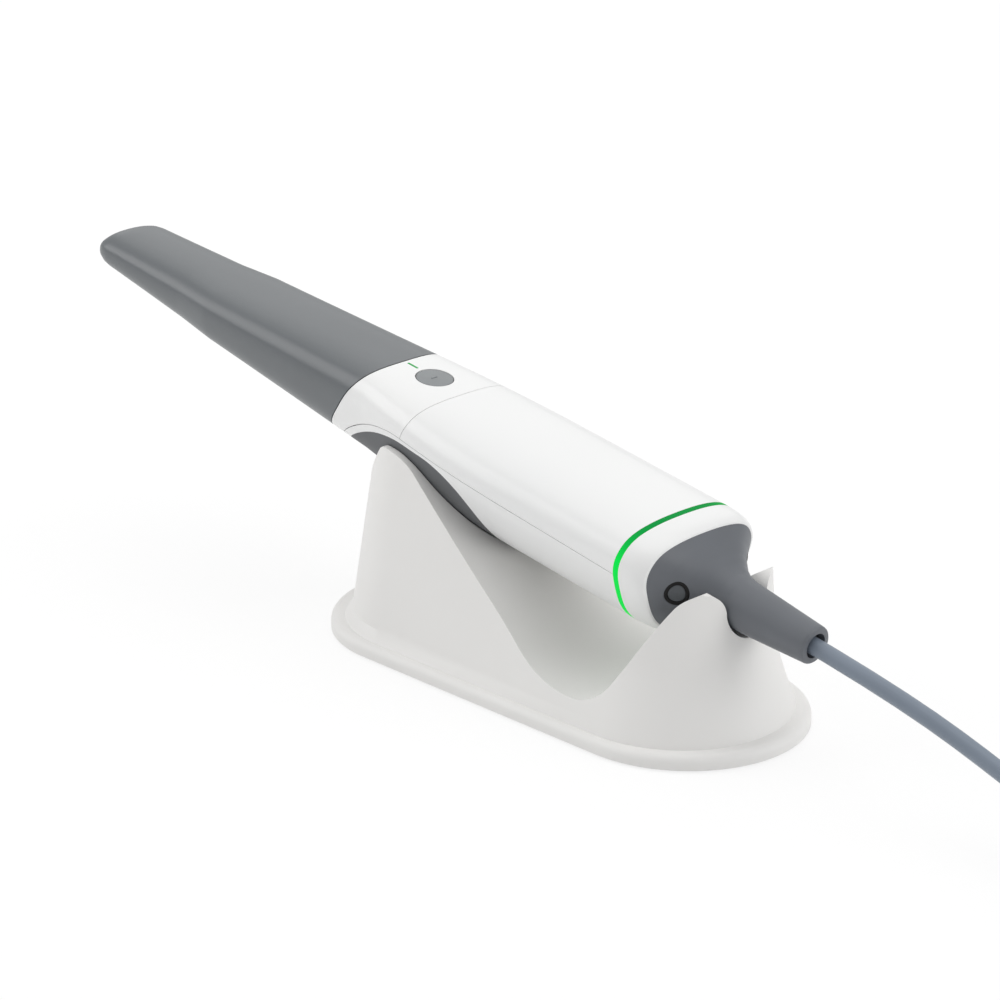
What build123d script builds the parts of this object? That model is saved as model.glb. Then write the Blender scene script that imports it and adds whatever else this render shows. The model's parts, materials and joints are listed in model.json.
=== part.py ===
from build123d import *
import os
from math import cos, radians, sin, tan

os.makedirs("parts", exist_ok=True)

# Intraoral scanner lying in its desk cradle.
# The cradle's foot is centred on the origin and stands on z = 0. The handpiece points to -X with its nose up,
# and its cable leaves to +X. Handpiece stations run along its axis from the light ring, rearwards positive,
# and heights are measured from the handle's straight top line.

# Pose of the handpiece in the cradle
nose_up_angle = 9.0
ring_top_x = 41.0
ring_top_z = 58.8

# Handpiece outline: stations
tip_front = -230.0
tip_neck = -189.0
tip_shoulder = -175.0
nose = -104.0
belly_rear = -45.0
handle_end = 0.6

# Handpiece outline: half width at mid height
tip_end_half_width = 12.0
tip_neck_half_width = 13.9
tip_shoulder_half_width = 15.4
nose_half_width = 17.3
handle_half_width = 21.3

# Handpiece outline: depth of the underside below the top line
tip_end_depth = 17.0
tip_neck_depth = 20.2
tip_shoulder_depth = 20.9
nose_depth = 25.8
handle_depth = 31.4

# Handpiece outline: how far the tip's top line has dropped, how much wider each section is above, and how square
tip_end_drop = 5.3
tip_flare = 0.10
handle_flare = 0.28
tip_end_squareness = 2.3
tip_neck_squareness = 2.6
tip_shoulder_squareness = 2.9
nose_squareness = 3.3
handle_squareness = 2.62
outline_points = 16
belly_steps = 5

# Seams of the handpiece
tip_seam = -105.7
tip_seam_slant = 30.4
tip_seam_gap = 0.35
cover_seam = -81.5
cover_seam_slant = 17.0
parting_depth_rear = 11.9
parting_depth_front = 9.7
parting_arch_centre = -85.0
parting_arch_radius = 39.0
shell_seam_gap = 0.18

# Walls and clearances
shell_wall = 2.0
tip_wall = 2.0
tip_clearance = 0.4
barrel_wall = 1.6
seat_gap = 0.1
button_clearance = 0.25
rest_gap = 0.3

# Finger pad
pad_arch_centre = -82.0
pad_arch_radius = 42.0
pad_top_depth = 11.1
pad_top_rear = -74.5
pad_tail_radius = 28.0

# Tip front
tip_edge_radius = 2.9
tip_edge_length = 5.5
tip_end_turns = [0, 22, 45, 67, 90]
tip_window_start = 6.5
tip_window_length = 17.0
tip_window_width = 15.0
tip_window_corner = 2.5
mirror_thickness = 1.2
mirror_lean = 45.0
mirror_foot = 3.2

# Nose barrel and its window
barrel_front = -165.0
barrel_flange_front = -104.0
barrel_flange_rear = -101.5
window_thickness = 1.5

# Scan button, its switch and its board
button_station = -93.4
button_diameter = 10.6
button_height = 3.0
button_flush = 0.05
button_flange_diameter = 12.8
button_flange_height = 0.8
button_stem_diameter = 3.0
button_stem_height = 0.6
button_travel = 0.5
switch_play = 0.35
switch_plunger_height = 0.6
switch_body_height = 2.4
switch_body_side = 6.2
button_board_length = 17.0
button_board_width = 18.0
board_thickness = 1.6
button_post_diameter = 4.0
button_post_spread_along = 11.0
button_post_spread_across = 13.0

# Alignment mark
mark_gap = 1.2
mark_length = 4.2
mark_width = 0.8
mark_depth = 0.5

# Light ring, its board and the rear collar
ring_width = 1.9
ring_depth = 3.0
ring_board_inner = 6.5
collar_length = 8.0
collar_drop = 0.10
cap_share = 0.89

# Tail cap and strain-relief boot
boot_end = 52.6
boot_axis_depth = 15.6
boot_start = 27.0
boot_start_radius = 7.0
boot_end_radius = 5.3
boot_recess_radius = 3.5
boot_recess_depth = 4.0
boot_edge_radius = 0.8
cap_fall_power = 1.7
cap_steps = 5
cap_spigot_length = 6.0
cap_gap = 0.15

# Screw plugs on the cap's flanks
plug_station = 16.2
plug_offset = 14.2
plug_depth = 14.0
plug_diameter = 6.8
plug_disc_diameter = 4.9
plug_proud = 0.25
plug_length = 2.6
plug_disc_sink = 0.2
plug_lean_rear = 0.707
plug_lean_side = 0.644
plug_lean_down = 0.291
cap_screw_head_diameter = 4.6
cap_screw_head_height = 1.6
cap_screw_diameter = 2.4
cap_screw_length = 8.0

# Chassis and what it carries
chassis_front = -74.0
chassis_end = 9.0
chassis_half_width = 12.0
chassis_top_depth = 17.0
chassis_thickness = 2.0
chassis_tail_front = 0.0
chassis_tail_top_depth = 8.5
boss_diameter = 6.0
boss_front = -33.0
boss_rear = -10.0
boss_spread = 18.0
chassis_screw_diameter = 2.5
chassis_screw_head_diameter = 4.6
chassis_screw_head_height = 1.5
chassis_screw_length = 8.0
main_board_front = -56.0
main_board_end = -4.0
main_board_half_width = 11.0
main_board_depth = 9.5
standoff_diameter = 4.0
sink_front = -55.0
sink_end = -20.0
sink_half_width = 5.5
sink_base = 1.2
sink_fin_height = 4.5
sink_fin_width = 0.9
sink_fins = 5
optics_front = -97.0
optics_end = -74.0
optics_half_width = 12.0
optics_top_depth = 11.5
optics_bottom_depth = 21.5
projector_diameter = 8.0
camera_diameter = 6.0
camera_spread = 16.0
lens_depth = 17.0
lens_reach = 3.0
sensor_board_height = 12.0
clamp_station = 20.0
clamp_length = 5.0
clamp_diameter = 8.4

# Cradle
cradle_length = 159.0
cradle_width = 68.5
foot_height = 0.6
base_top = 4.6
base_edge_radius = 2.2
pillar_centre_spread = 86.0
pillar_front_radius = 30.5
pillar_rear_radius = 27.0
pillar_top = 60.0
pillar_front_top_radius = 21.8
pillar_rear_top_radius = 23.6
pillar_front_root = 1.9
pillar_front_root_height = 3.0
pillar_rear_root = 5.0
pillar_rear_root_height = 20.0
root_power = 1.3
root_steps = 5
cradle_wall = 3.0
horn_front_x = -51.3
horn_front_z = 58.5
horn_front_back_x = -41.2
horn_front_slope = 52.0
valley_start_x = 18.8
valley_end_x = 39.5
valley_floor_z = 11.0
horn_rear_x = 61.0
horn_rear_z = 45.5
valley_radii = [4.0, 21.0, 34.0, 14.5, 9.0]
boot_slot_radius = 7.7
boot_slot_lip = 5.5

# Underside of the cradle
plate_thickness = 1.6
plate_rim = 4.0
plate_gap = 0.2
weight_length = 70.0
weight_width = 34.0
weight_height = 4.0
weight_x = 12.0
mat_rim = 6.0
base_screw_spread_x = 70.0
base_screw_spread_y = 49.0
base_screw_diameter = 3.0
base_screw_head_diameter = 5.6
base_screw_head_height = 1.0
base_screw_length = 7.0
base_boss_diameter = 7.0
base_boss_top = 9.0

# Cable, its coil, tie and data plug
cable_diameter = 4.7
cable_start = 28.0
cable_straight = 48.0
cable_sag = [(162.5, -1.0, 17.5), (197.0, -4.0, 5.0)]
bend_share = 0.45
coil_centre_x = 226.0
coil_centre_y = 26.0
coil_mid_radius = 26.0
coil_columns = 3
coil_layers = 4
tie_thickness = 0.8
tie_width = 9.0
tie_gap = 0.4
tail_bend_radius = 28.0
tail_bend_points = 4
data_plug_length = 30.0
data_plug_width = 15.5
data_plug_height = 8.0
data_plug_edge = 1.5
plug_shell_length = 18.6
plug_shell_width = 12.0
plug_shell_height = 4.5
plug_shell_wall = 0.4
plug_tongue_height = 1.9

# Directions and planes of the handpiece
lean = radians(nose_up_angle)
axis = Vector(cos(lean), 0, -sin(lean))
upward = Vector(sin(lean), 0, cos(lean))
ring_top = Vector(ring_top_x, 0, ring_top_z)
side = Plane(origin=ring_top, x_dir=axis, z_dir=(0, -1, 0))


def spot(station, offset, height):
    return ring_top + axis * station + Vector(0, offset, 0) + upward * height


def across(station):
    return Plane(origin=spot(station, 0, 0), x_dir=(0, 1, 0), z_dir=axis)


def level(height):
    return Plane(origin=spot(0, 0, height), x_dir=axis, z_dir=upward)


# Outline of the handpiece at its main stations: half width, depth, flare, squareness
ring_end = handle_end + ring_width
main_sections = [
    (tip_front, tip_end_half_width, tip_end_depth, tip_flare, tip_end_squareness),
    (tip_neck, tip_neck_half_width, tip_neck_depth, tip_flare, tip_neck_squareness),
    (tip_shoulder, tip_shoulder_half_width, tip_shoulder_depth, tip_flare, tip_shoulder_squareness),
    (nose, nose_half_width, nose_depth, tip_flare, nose_squareness),
    (belly_rear, handle_half_width, handle_depth, handle_flare, handle_squareness),
    (ring_end, handle_half_width, handle_depth, handle_flare, handle_squareness),
]


def between(station, column):
    for before, after in zip(main_sections, main_sections[1:]):
        if station <= after[0]:
            break
    share = (station - before[0]) / (after[0] - before[0])
    if before[0] == nose:
        share = 1 - (1 - share) ** 2
    return before[column] + share * (after[column] - before[column])


def top_height(station):
    return -tip_end_drop * max(0, nose - station) / (nose - tip_front)


def signed_power(value, power):
    return abs(value) ** power * (1 if value >= 0 else -1)


def oval(half_width, top, bottom, flare, squareness):
    middle = (top + bottom) / 2
    half_height = (top - bottom) / 2
    points = []
    for index in range(outline_points):
        angle = radians(360 * index / outline_points - 90)
        rise = signed_power(sin(angle), 2 / squareness)
        reach = signed_power(cos(angle), 2 / squareness)
        points.append((half_width * (1 + flare * rise) * reach, middle + half_height * rise))
    return points


def outline(station, inset):
    return oval(
        between(station, 1) - inset,
        top_height(station) - inset,
        inset - between(station, 2),
        between(station, 3),
        between(station, 4),
    )


# The tip and the rear of the handle are straight between sections; the belly swells in a curve of several steps
belly_stations = [nose + (belly_rear - nose) * step / belly_steps for step in range(1, belly_steps)]
all_stations = sorted([section[0] for section in main_sections] + belly_stations)


def handpiece_form(first, last, inset):
    inner_stations = [station for station in all_stations if first < station < last]
    with BuildPart() as form:
        for station in [first] + inner_stations + [last]:
            with BuildSketch(across(station)):
                with BuildLine():
                    Spline(*outline(station, inset), periodic=True)
                make_face()
        loft(ruled=True)
    return form.part


def tail_outline(share, inset):
    half_height = handle_depth / 2
    return oval(
        handle_half_width * share - inset,
        -half_height + half_height * share - inset,
        -half_height - half_height * share + inset,
        handle_flare,
        handle_squareness,
    )


def prism(points, first, last):
    with BuildPart() as form:
        with BuildSketch(across(first)):
            with BuildLine():
                Spline(*points, periodic=True)
            make_face()
        extrude(amount=last - first)
    return form.part


def slab(first, last, half_width, bottom, top):
    with BuildPart() as form:
        with BuildSketch(across(first)):
            with Locations((0, (bottom + top) / 2)):
                Rectangle(2 * half_width, top - bottom)
        extrude(amount=last - first)
    return form.part


def rod(start, direction, diameter, length):
    with BuildPart() as form:
        with BuildSketch(Plane(origin=start, z_dir=direction)):
            Circle(diameter / 2)
        extrude(amount=length)
    return form.part


# Shared forms of the handpiece
collar_end = ring_end + collar_length
far_below = -2 * handle_depth
far_above = handle_depth
handpiece_outside = handpiece_form(tip_front + tip_edge_length, ring_end, 0)
handle_cavity_front = tip_seam - nose_depth
handle_inside = handpiece_form(handle_cavity_front, handle_end, shell_wall)
tip_seam_direction = axis * cos(radians(tip_seam_slant)) - upward * sin(radians(tip_seam_slant))
tip_seam_plane = Plane(origin=spot(tip_seam, 0, 0), x_dir=(0, 1, 0), z_dir=tip_seam_direction)


# Parting line of the shells in side view, from the light ring to the arch under the nose
def parting_edge(lowering):
    radius = parting_arch_radius - lowering
    rear = (handle_end, -parting_depth_rear - lowering)
    arch_top = (parting_arch_centre, -parting_depth_front - lowering)
    arch_front = (parting_arch_centre - radius, arch_top[1] - radius)
    Line(rear, arch_top)
    RadiusArc(arch_top, arch_front, -radius)
    return rear, arch_front


def cover_seam_station(height, gap):
    return cover_seam + gap + height * tan(radians(cover_seam_slant))


# Scan tip sleeve, with a mirror bed inside its closed end and a window below it
tip_cavity_rear = tip_seam + shell_wall
mirror_normal = axis * sin(radians(mirror_lean)) - upward * cos(radians(mirror_lean))
mirror_seat = spot(tip_front + tip_wall + mirror_foot, 0, tip_wall - tip_end_depth)
mirror_plane = Plane(origin=mirror_seat, x_dir=(0, 1, 0), z_dir=mirror_normal)

with BuildPart() as tip_cavity:
    add(handpiece_form(tip_front + tip_wall, tip_cavity_rear, tip_wall))
    split(bisect_by=mirror_plane, keep=Keep.TOP)

with BuildPart() as tip_end:
    for turn in tip_end_turns:
        station = tip_front + tip_edge_length * (1 - sin(radians(turn)))
        with BuildSketch(across(station)):
            with BuildLine():
                Spline(*outline(station, tip_edge_radius * (1 - cos(radians(turn)))), periodic=True)
            make_face()
    loft(ruled=True)

with BuildPart() as scan_tip:
    add(handpiece_outside)
    split(bisect_by=tip_seam_plane.offset(-tip_seam_gap), keep=Keep.BOTTOM)
    add(tip_end.part)
    add(tip_cavity.part, mode=Mode.SUBTRACT)
    with BuildSketch(level(far_below)):
        with Locations((tip_front + tip_window_start + tip_window_length / 2, 0)):
            RectangleRounded(tip_window_length, tip_window_width, tip_window_corner)
    extrude(amount=-far_below - tip_end_depth / 2 - tip_end_drop, mode=Mode.SUBTRACT)
scan_tip.part.label = "scan_tip"
export_step(scan_tip.part, "parts/scan_tip.step")

# Mirror bonded to the bed at the tip's end
with BuildPart() as tip_mirror:
    add(handpiece_form(tip_front + tip_wall, tip_cavity_rear, tip_wall + seat_gap))
    split(bisect_by=mirror_plane, keep=Keep.TOP)
    split(bisect_by=mirror_plane.offset(mirror_thickness), keep=Keep.BOTTOM)
tip_mirror.part.label = "tip_mirror"
export_step(tip_mirror.part, "parts/tip_mirror.step")

# Nose barrel that the tip slides onto, with a flange inside the nose cover
barrel_inset = tip_wall + tip_clearance
with BuildPart() as nose_barrel:
    add(handpiece_form(barrel_front, barrel_flange_rear, barrel_inset))
    with BuildSketch(across(barrel_flange_front)):
        with BuildLine():
            Spline(*outline(barrel_flange_front, shell_wall + seat_gap), periodic=True)
        make_face()
    extrude(amount=barrel_flange_rear - barrel_flange_front)
    add(handpiece_form(barrel_front, barrel_flange_rear, barrel_inset + barrel_wall), mode=Mode.SUBTRACT)
nose_barrel.part.label = "nose_barrel"
export_step(nose_barrel.part, "parts/nose_barrel.step")

# Window that closes the front of the barrel
front_window_points = outline(barrel_front, barrel_inset + seat_gap)
with BuildPart() as front_window:
    add(prism(front_window_points, barrel_front - window_thickness, barrel_front))
front_window.part.label = "front_window"
export_step(front_window.part, "parts/front_window.step")

# Button stack heights
button_top = -button_flush
button_flange_top = button_top - button_height
button_flange_bottom = button_flange_top - button_flange_height
button_bottom = button_flange_bottom - button_stem_height
plunger_top = button_bottom - button_travel - switch_play
switch_top = plunger_top - switch_plunger_height
button_board_top = switch_top - switch_body_height

# Nose cover: collar behind the tip, button hole, mark recess and the posts of the button board
with BuildPart() as nose_cavity:
    add(handle_inside)
    with BuildSketch(level(button_board_top)):
        with Locations((button_station, 0)):
            with GridLocations(button_post_spread_along, button_post_spread_across, 2, 2):
                Circle(button_post_diameter / 2)
    extrude(amount=far_above, mode=Mode.SUBTRACT)

mark_station = tip_seam + mark_gap + mark_length / 2
with BuildPart() as nose_cover:
    add(handpiece_outside)
    split(bisect_by=tip_seam_plane, keep=Keep.TOP)
    with BuildSketch(side):
        with BuildLine():
            shell_rear, arch_front = parting_edge(0)
            Polyline(
                arch_front,
                (arch_front[0], far_below),
                (tip_front, far_below),
                (tip_front, far_above),
                (shell_rear[0], far_above),
                shell_rear,
            )
        make_face()
    extrude(amount=handle_depth, both=True, mode=Mode.INTERSECT)
    with BuildSketch(side):
        with BuildLine():
            Polyline(
                (cover_seam_station(far_above, 0), far_above),
                (tip_front, far_above),
                (tip_front, far_below),
                (cover_seam_station(far_below, 0), far_below),
                close=True,
            )
        make_face()
    extrude(amount=handle_depth, both=True, mode=Mode.INTERSECT)
    add(nose_cavity.part, mode=Mode.SUBTRACT)
    with BuildSketch(level(button_flange_top)):
        with Locations((button_station, 0)):
            Circle(button_diameter / 2 + button_clearance)
    extrude(amount=far_above, mode=Mode.SUBTRACT)
    with BuildSketch(level(-mark_depth)):
        with Locations((mark_station, 0)):
            SlotOverall(mark_length, mark_width)
    extrude(amount=far_above, mode=Mode.SUBTRACT)
nose_cover.part.label = "nose_cover"
export_step(nose_cover.part, "parts/nose_cover.step")

# Coloured alignment mark set into the nose cover
with BuildPart() as alignment_mark:
    with BuildSketch(level(-mark_depth)):
        with Locations((mark_station, 0)):
            SlotOverall(mark_length, mark_width)
    extrude(amount=mark_depth)
alignment_mark.part.label = "alignment_mark"
export_step(alignment_mark.part, "parts/alignment_mark.step")

# Top shell, from the nose cover back to the light ring
with BuildPart() as top_shell:
    add(handpiece_outside)
    with BuildSketch(side):
        with BuildLine():
            shell_rear, arch_front = parting_edge(0)
            Polyline(
                arch_front,
                (tip_front, arch_front[1]),
                (tip_front, far_above),
                (shell_rear[0], far_above),
                shell_rear,
            )
        make_face()
    extrude(amount=handle_depth, both=True, mode=Mode.INTERSECT)
    with BuildSketch(side):
        with BuildLine():
            Polyline(
                (cover_seam_station(far_above, shell_seam_gap), far_above),
                (ring_end, far_above),
                (ring_end, far_below),
                (cover_seam_station(far_below, shell_seam_gap), far_below),
                close=True,
            )
        make_face()
    extrude(amount=handle_depth, both=True, mode=Mode.INTERSECT)
    add(handle_inside, mode=Mode.SUBTRACT)
top_shell.part.label = "top_shell"
export_step(top_shell.part, "parts/top_shell.step")


# Side view of the finger pad: a long arch under the nose and a round tail on the belly
def pad_region():
    top_front = (pad_arch_centre, -pad_top_depth)
    top_rear = (pad_top_rear, -pad_top_depth)
    pad_front = (pad_arch_centre - pad_arch_radius, -pad_top_depth - pad_arch_radius)
    pad_rear = (pad_top_rear + pad_tail_radius, -pad_top_depth - pad_tail_radius)
    RadiusArc(pad_front, top_front, pad_arch_radius)
    Line(top_front, top_rear)
    RadiusArc(top_rear, pad_rear, pad_tail_radius)
    Polyline(pad_rear, (pad_rear[0], far_below), (pad_front[0], far_below), pad_front)


chassis_underside = -chassis_top_depth - chassis_thickness
boss_stations = [boss_front, boss_rear]
boss_shifts = (-boss_spread / 2, boss_spread / 2)
boss_places = [(station, shift) for station in boss_stations for shift in boss_shifts]
screw_bottom = chassis_underside + chassis_thickness - chassis_screw_length

# Bottom shell with the bosses of the chassis and the opening of the finger pad
with BuildPart() as bottom_cavity:
    add(handle_inside)
    with BuildSketch(level(chassis_underside)):
        with Locations(*boss_places):
            Circle(boss_diameter / 2)
    extrude(amount=far_below, mode=Mode.SUBTRACT)

with BuildPart() as bottom_shell:
    add(handpiece_outside)
    with BuildSketch(side):
        with BuildLine():
            shell_rear, arch_front = parting_edge(shell_seam_gap)
            Polyline(arch_front, (arch_front[0], far_below), (shell_rear[0], far_below), shell_rear)
        make_face()
    extrude(amount=handle_depth, both=True, mode=Mode.INTERSECT)
    add(bottom_cavity.part, mode=Mode.SUBTRACT)
    with BuildSketch(side):
        with BuildLine():
            pad_region()
        make_face()
    extrude(amount=handle_depth, both=True, mode=Mode.SUBTRACT)
    with BuildSketch(level(screw_bottom)):
        with Locations(*boss_places):
            Circle(chassis_screw_diameter / 2)
    extrude(amount=chassis_underside - screw_bottom, mode=Mode.SUBTRACT)
bottom_shell.part.label = "bottom_shell"
export_step(bottom_shell.part, "parts/bottom_shell.step")

with BuildPart() as finger_pad:
    add(handpiece_outside)
    with BuildSketch(side):
        with BuildLine():
            pad_region()
        make_face()
    extrude(amount=handle_depth, both=True, mode=Mode.INTERSECT)
    add(handle_inside, mode=Mode.SUBTRACT)
finger_pad.part.label = "finger_pad"
export_step(finger_pad.part, "parts/finger_pad.step")

# Scan button, sprung on its switch
with BuildPart() as scan_button:
    with BuildSketch(level(button_flange_top)):
        with Locations((button_station, 0)):
            Circle(button_diameter / 2)
    extrude(amount=button_height)
    top_rim = edges().group_by(Axis(ring_top, upward))[-1]
    fillet(top_rim, button_clearance)
    with BuildSketch(level(button_flange_bottom)):
        with Locations((button_station, 0)):
            Circle(button_flange_diameter / 2)
    extrude(amount=button_flange_height)
    with BuildSketch(level(button_bottom)):
        with Locations((button_station, 0)):
            Circle(button_stem_diameter / 2)
    extrude(amount=button_stem_height)
scan_button.part.label = "scan_button"
export_step(scan_button.part, "parts/scan_button.step")

with BuildPart() as button_switch:
    with BuildSketch(level(button_board_top)):
        with Locations((button_station, 0)):
            Rectangle(switch_body_side, switch_body_side)
    extrude(amount=switch_body_height)
    with BuildSketch(level(switch_top)):
        with Locations((button_station, 0)):
            Circle(button_stem_diameter / 2)
    extrude(amount=switch_plunger_height)
button_switch.part.label = "button_switch"
export_step(button_switch.part, "parts/button_switch.step")

with BuildPart() as button_board:
    with BuildSketch(level(button_board_top - board_thickness)):
        with Locations((button_station, 0)):
            RectangleRounded(button_board_length, button_board_width, button_post_diameter / 4)
    extrude(amount=board_thickness)
button_board.part.label = "button_board"
export_step(button_board.part, "parts/button_board.step")

# Translucent light ring between the shells and the rear collar
with BuildPart() as light_ring:
    add(handpiece_outside)
    split(bisect_by=across(handle_end), keep=Keep.TOP)
    add(prism(outline(handle_end, ring_depth), handle_end, ring_end), mode=Mode.SUBTRACT)
light_ring.part.label = "light_ring"
export_step(light_ring.part, "parts/light_ring.step")

ring_board_end = handle_end
ring_board_front = handle_end - board_thickness
with BuildPart() as ring_board:
    add(prism(outline(handle_end, shell_wall + seat_gap), ring_board_front, ring_board_end))
    add(prism(outline(handle_end, ring_board_inner), ring_board_front, ring_board_end), mode=Mode.SUBTRACT)
ring_board.part.label = "ring_board"
export_step(ring_board.part, "parts/ring_board.step")

# Rear collar, rounded in towards the tail cap
collar_turns = [0, 25, 45, 62, 77, 90]
with BuildPart() as rear_collar:
    for turn in collar_turns:
        reach = ring_end + collar_length * sin(radians(turn))
        share = 1 - collar_drop * (1 - cos(radians(turn)))
        with BuildSketch(across(reach)):
            with BuildLine():
                Spline(*tail_outline(share, 0), periodic=True)
            make_face()
    loft(ruled=True)
    add(prism(tail_outline(cap_share, 0), ring_end, collar_end), mode=Mode.SUBTRACT)
rear_collar.part.label = "rear_collar"
export_step(rear_collar.part, "parts/rear_collar.step")


# Tail cap: the collar's oval falls away in a hollow curve and becomes the round boot
def cap_outline(station, outset):
    fall = (station - collar_end) / (boot_start - collar_end)
    keep = max(0, 1 - fall) ** cap_fall_power
    boot_share = min(1, max(0, (station - boot_start) / (boot_end - boot_start)))
    radius = boot_start_radius + boot_share * (boot_end_radius - boot_start_radius)
    half_width = radius + keep * (handle_half_width * cap_share - radius)
    half_height = radius + keep * (handle_depth / 2 * cap_share - radius)
    middle = -boot_axis_depth + keep * (boot_axis_depth - handle_depth / 2)
    squareness = 2 + keep * (handle_squareness - 2)
    return oval(
        half_width + outset,
        middle + half_height + outset,
        middle - half_height - outset,
        keep * handle_flare,
        squareness,
    )


cap_stations = [collar_end + (boot_start - collar_end) * step / cap_steps for step in range(cap_steps + 1)]
boot_straight = boot_end - boot_edge_radius
boot_turns = [0, 30, 60, 90]


def tail_form(outset):
    with BuildPart() as form:
        for station in cap_stations:
            with BuildSketch(across(station)):
                with BuildLine():
                    Spline(*cap_outline(station, outset), periodic=True)
                make_face()
        loft(ruled=True)
        for station in (boot_start, boot_straight):
            with BuildSketch(across(station)):
                with BuildLine():
                    Spline(*cap_outline(station, outset), periodic=True)
                make_face()
        loft(ruled=True)
        for turn in boot_turns:
            reach = boot_edge_radius * sin(radians(turn))
            drop = boot_edge_radius * (1 - cos(radians(turn)))
            with BuildSketch(across(boot_straight + reach)):
                with BuildLine():
                    Spline(*cap_outline(boot_straight, outset - drop), periodic=True)
                make_face()
        loft(ruled=True)
    return form.part


def plug_axis(hand):
    return axis * plug_lean_rear + Vector(0, hand * plug_lean_side, 0) - upward * plug_lean_down


def plug_spot(hand, depth):
    return spot(plug_station, hand * plug_offset, -plug_depth) - plug_axis(hand) * depth


hands = (-1, 1)
with BuildPart() as cap_screws:
    for hand in hands:
        add(rod(plug_spot(hand, plug_length), -plug_axis(hand), cap_screw_head_diameter, cap_screw_head_height))
        add(rod(plug_spot(hand, plug_length), -plug_axis(hand), cap_screw_diameter, cap_screw_length))
cap_screws.part.label = "cap_screws"
export_step(cap_screws.part, "parts/cap_screws.step")

# Black rubber rings and grey discs that close the screw holes
plug_total = plug_length + plug_proud
with BuildPart() as plug_rings:
    for hand in hands:
        add(rod(plug_spot(hand, plug_length), plug_axis(hand), plug_diameter, plug_total))
        add(rod(plug_spot(hand, plug_length), plug_axis(hand), plug_disc_diameter, plug_total), mode=Mode.SUBTRACT)
plug_rings.part.label = "plug_rings"
export_step(plug_rings.part, "parts/plug_rings.step")

with BuildPart() as plug_discs:
    for hand in hands:
        add(rod(plug_spot(hand, plug_length), plug_axis(hand), plug_disc_diameter, plug_total - plug_disc_sink))
plug_discs.part.label = "plug_discs"
export_step(plug_discs.part, "parts/plug_discs.step")

# Tail cap and boot as one moulding, with a spigot in the collar, a pocket for the chassis and a bore for the cable
cap_spigot_front = collar_end - cap_spigot_length
cable_axis_start = spot(cap_spigot_front, 0, -boot_axis_depth)
with BuildPart() as tail_cap:
    add(tail_form(0))
    add(prism(tail_outline(cap_share, cap_gap), cap_spigot_front, collar_end))
    add(
        slab(
            cap_spigot_front,
            chassis_end + seat_gap,
            chassis_half_width + seat_gap,
            chassis_underside - seat_gap,
            seat_gap - chassis_tail_top_depth,
        ),
        mode=Mode.SUBTRACT,
    )
    add(rod(cable_axis_start, axis, cable_diameter, boot_end - cap_spigot_front), mode=Mode.SUBTRACT)
    add(
        rod(spot(clamp_station, 0, -boot_axis_depth), axis, clamp_diameter, clamp_length),
        mode=Mode.SUBTRACT,
    )
    recess_start = spot(boot_end - boot_recess_depth, 0, -boot_axis_depth)
    add(rod(recess_start, axis, 2 * boot_recess_radius, boot_recess_depth), mode=Mode.SUBTRACT)
    add(cap_screws.part, mode=Mode.SUBTRACT)
    for hand in hands:
        add(rod(plug_spot(hand, plug_length), plug_axis(hand), plug_diameter, 2 * plug_length), mode=Mode.SUBTRACT)
tail_cap.part.label = "tail_cap"
export_step(tail_cap.part, "parts/tail_cap.step")

# Clamp that holds the cable inside the boot
with BuildPart() as cable_clamp:
    add(rod(spot(clamp_station, 0, -boot_axis_depth), axis, clamp_diameter, clamp_length))
    add(rod(spot(clamp_station, 0, -boot_axis_depth), axis, cable_diameter, clamp_length), mode=Mode.SUBTRACT)
cable_clamp.part.label = "cable_clamp"
export_step(cable_clamp.part, "parts/cable_clamp.step")

# Chassis tray, its tail block and the standoffs of the main board
standoff_places = [
    (main_board_front + standoff_diameter, 0),
    (main_board_end - standoff_diameter, 0),
]
board_underside = -main_board_depth - board_thickness
with BuildPart() as chassis:
    add(slab(chassis_front, chassis_end, chassis_half_width, chassis_underside, -chassis_top_depth))
    add(slab(chassis_tail_front, chassis_end, chassis_half_width, chassis_underside, -chassis_tail_top_depth))
    with BuildSketch(level(-chassis_top_depth)):
        with Locations(*standoff_places):
            Circle(standoff_diameter / 2)
    extrude(amount=board_underside + chassis_top_depth)
    with BuildSketch(level(chassis_underside)):
        with Locations(*boss_places):
            Circle(chassis_screw_diameter / 2)
    extrude(amount=chassis_thickness, mode=Mode.SUBTRACT)
    add(cap_screws.part, mode=Mode.SUBTRACT)
chassis.part.label = "chassis"
export_step(chassis.part, "parts/chassis.step")

with BuildPart() as chassis_screws:
    with BuildSketch(level(screw_bottom)):
        with Locations(*boss_places):
            Circle(chassis_screw_diameter / 2)
    extrude(amount=chassis_screw_length)
    with BuildSketch(level(-chassis_top_depth)):
        with Locations(*boss_places):
            Circle(chassis_screw_head_diameter / 2)
    extrude(amount=chassis_screw_head_height)
chassis_screws.part.label = "chassis_screws"
export_step(chassis_screws.part, "parts/chassis_screws.step")

# Main board on its standoffs
with BuildPart() as main_board:
    add(slab(main_board_front, main_board_end, main_board_half_width, board_underside, -main_board_depth))
main_board.part.label = "main_board"
export_step(main_board.part, "parts/main_board.step")

# Finned heat sink on the main board
with BuildPart() as heat_sink:
    add(slab(sink_front, sink_end, sink_half_width, -main_board_depth, sink_base - main_board_depth))
    fin_spacing = (2 * sink_half_width - sink_fin_width) / (sink_fins - 1)
    with BuildSketch(level(sink_base - main_board_depth)):
        with Locations(((sink_front + sink_end) / 2, 0)):
            with GridLocations(fin_spacing, fin_spacing, 1, sink_fins):
                Rectangle(sink_end - sink_front, sink_fin_width)
    extrude(amount=sink_fin_height)
heat_sink.part.label = "heat_sink"
export_step(heat_sink.part, "parts/heat_sink.step")

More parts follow.
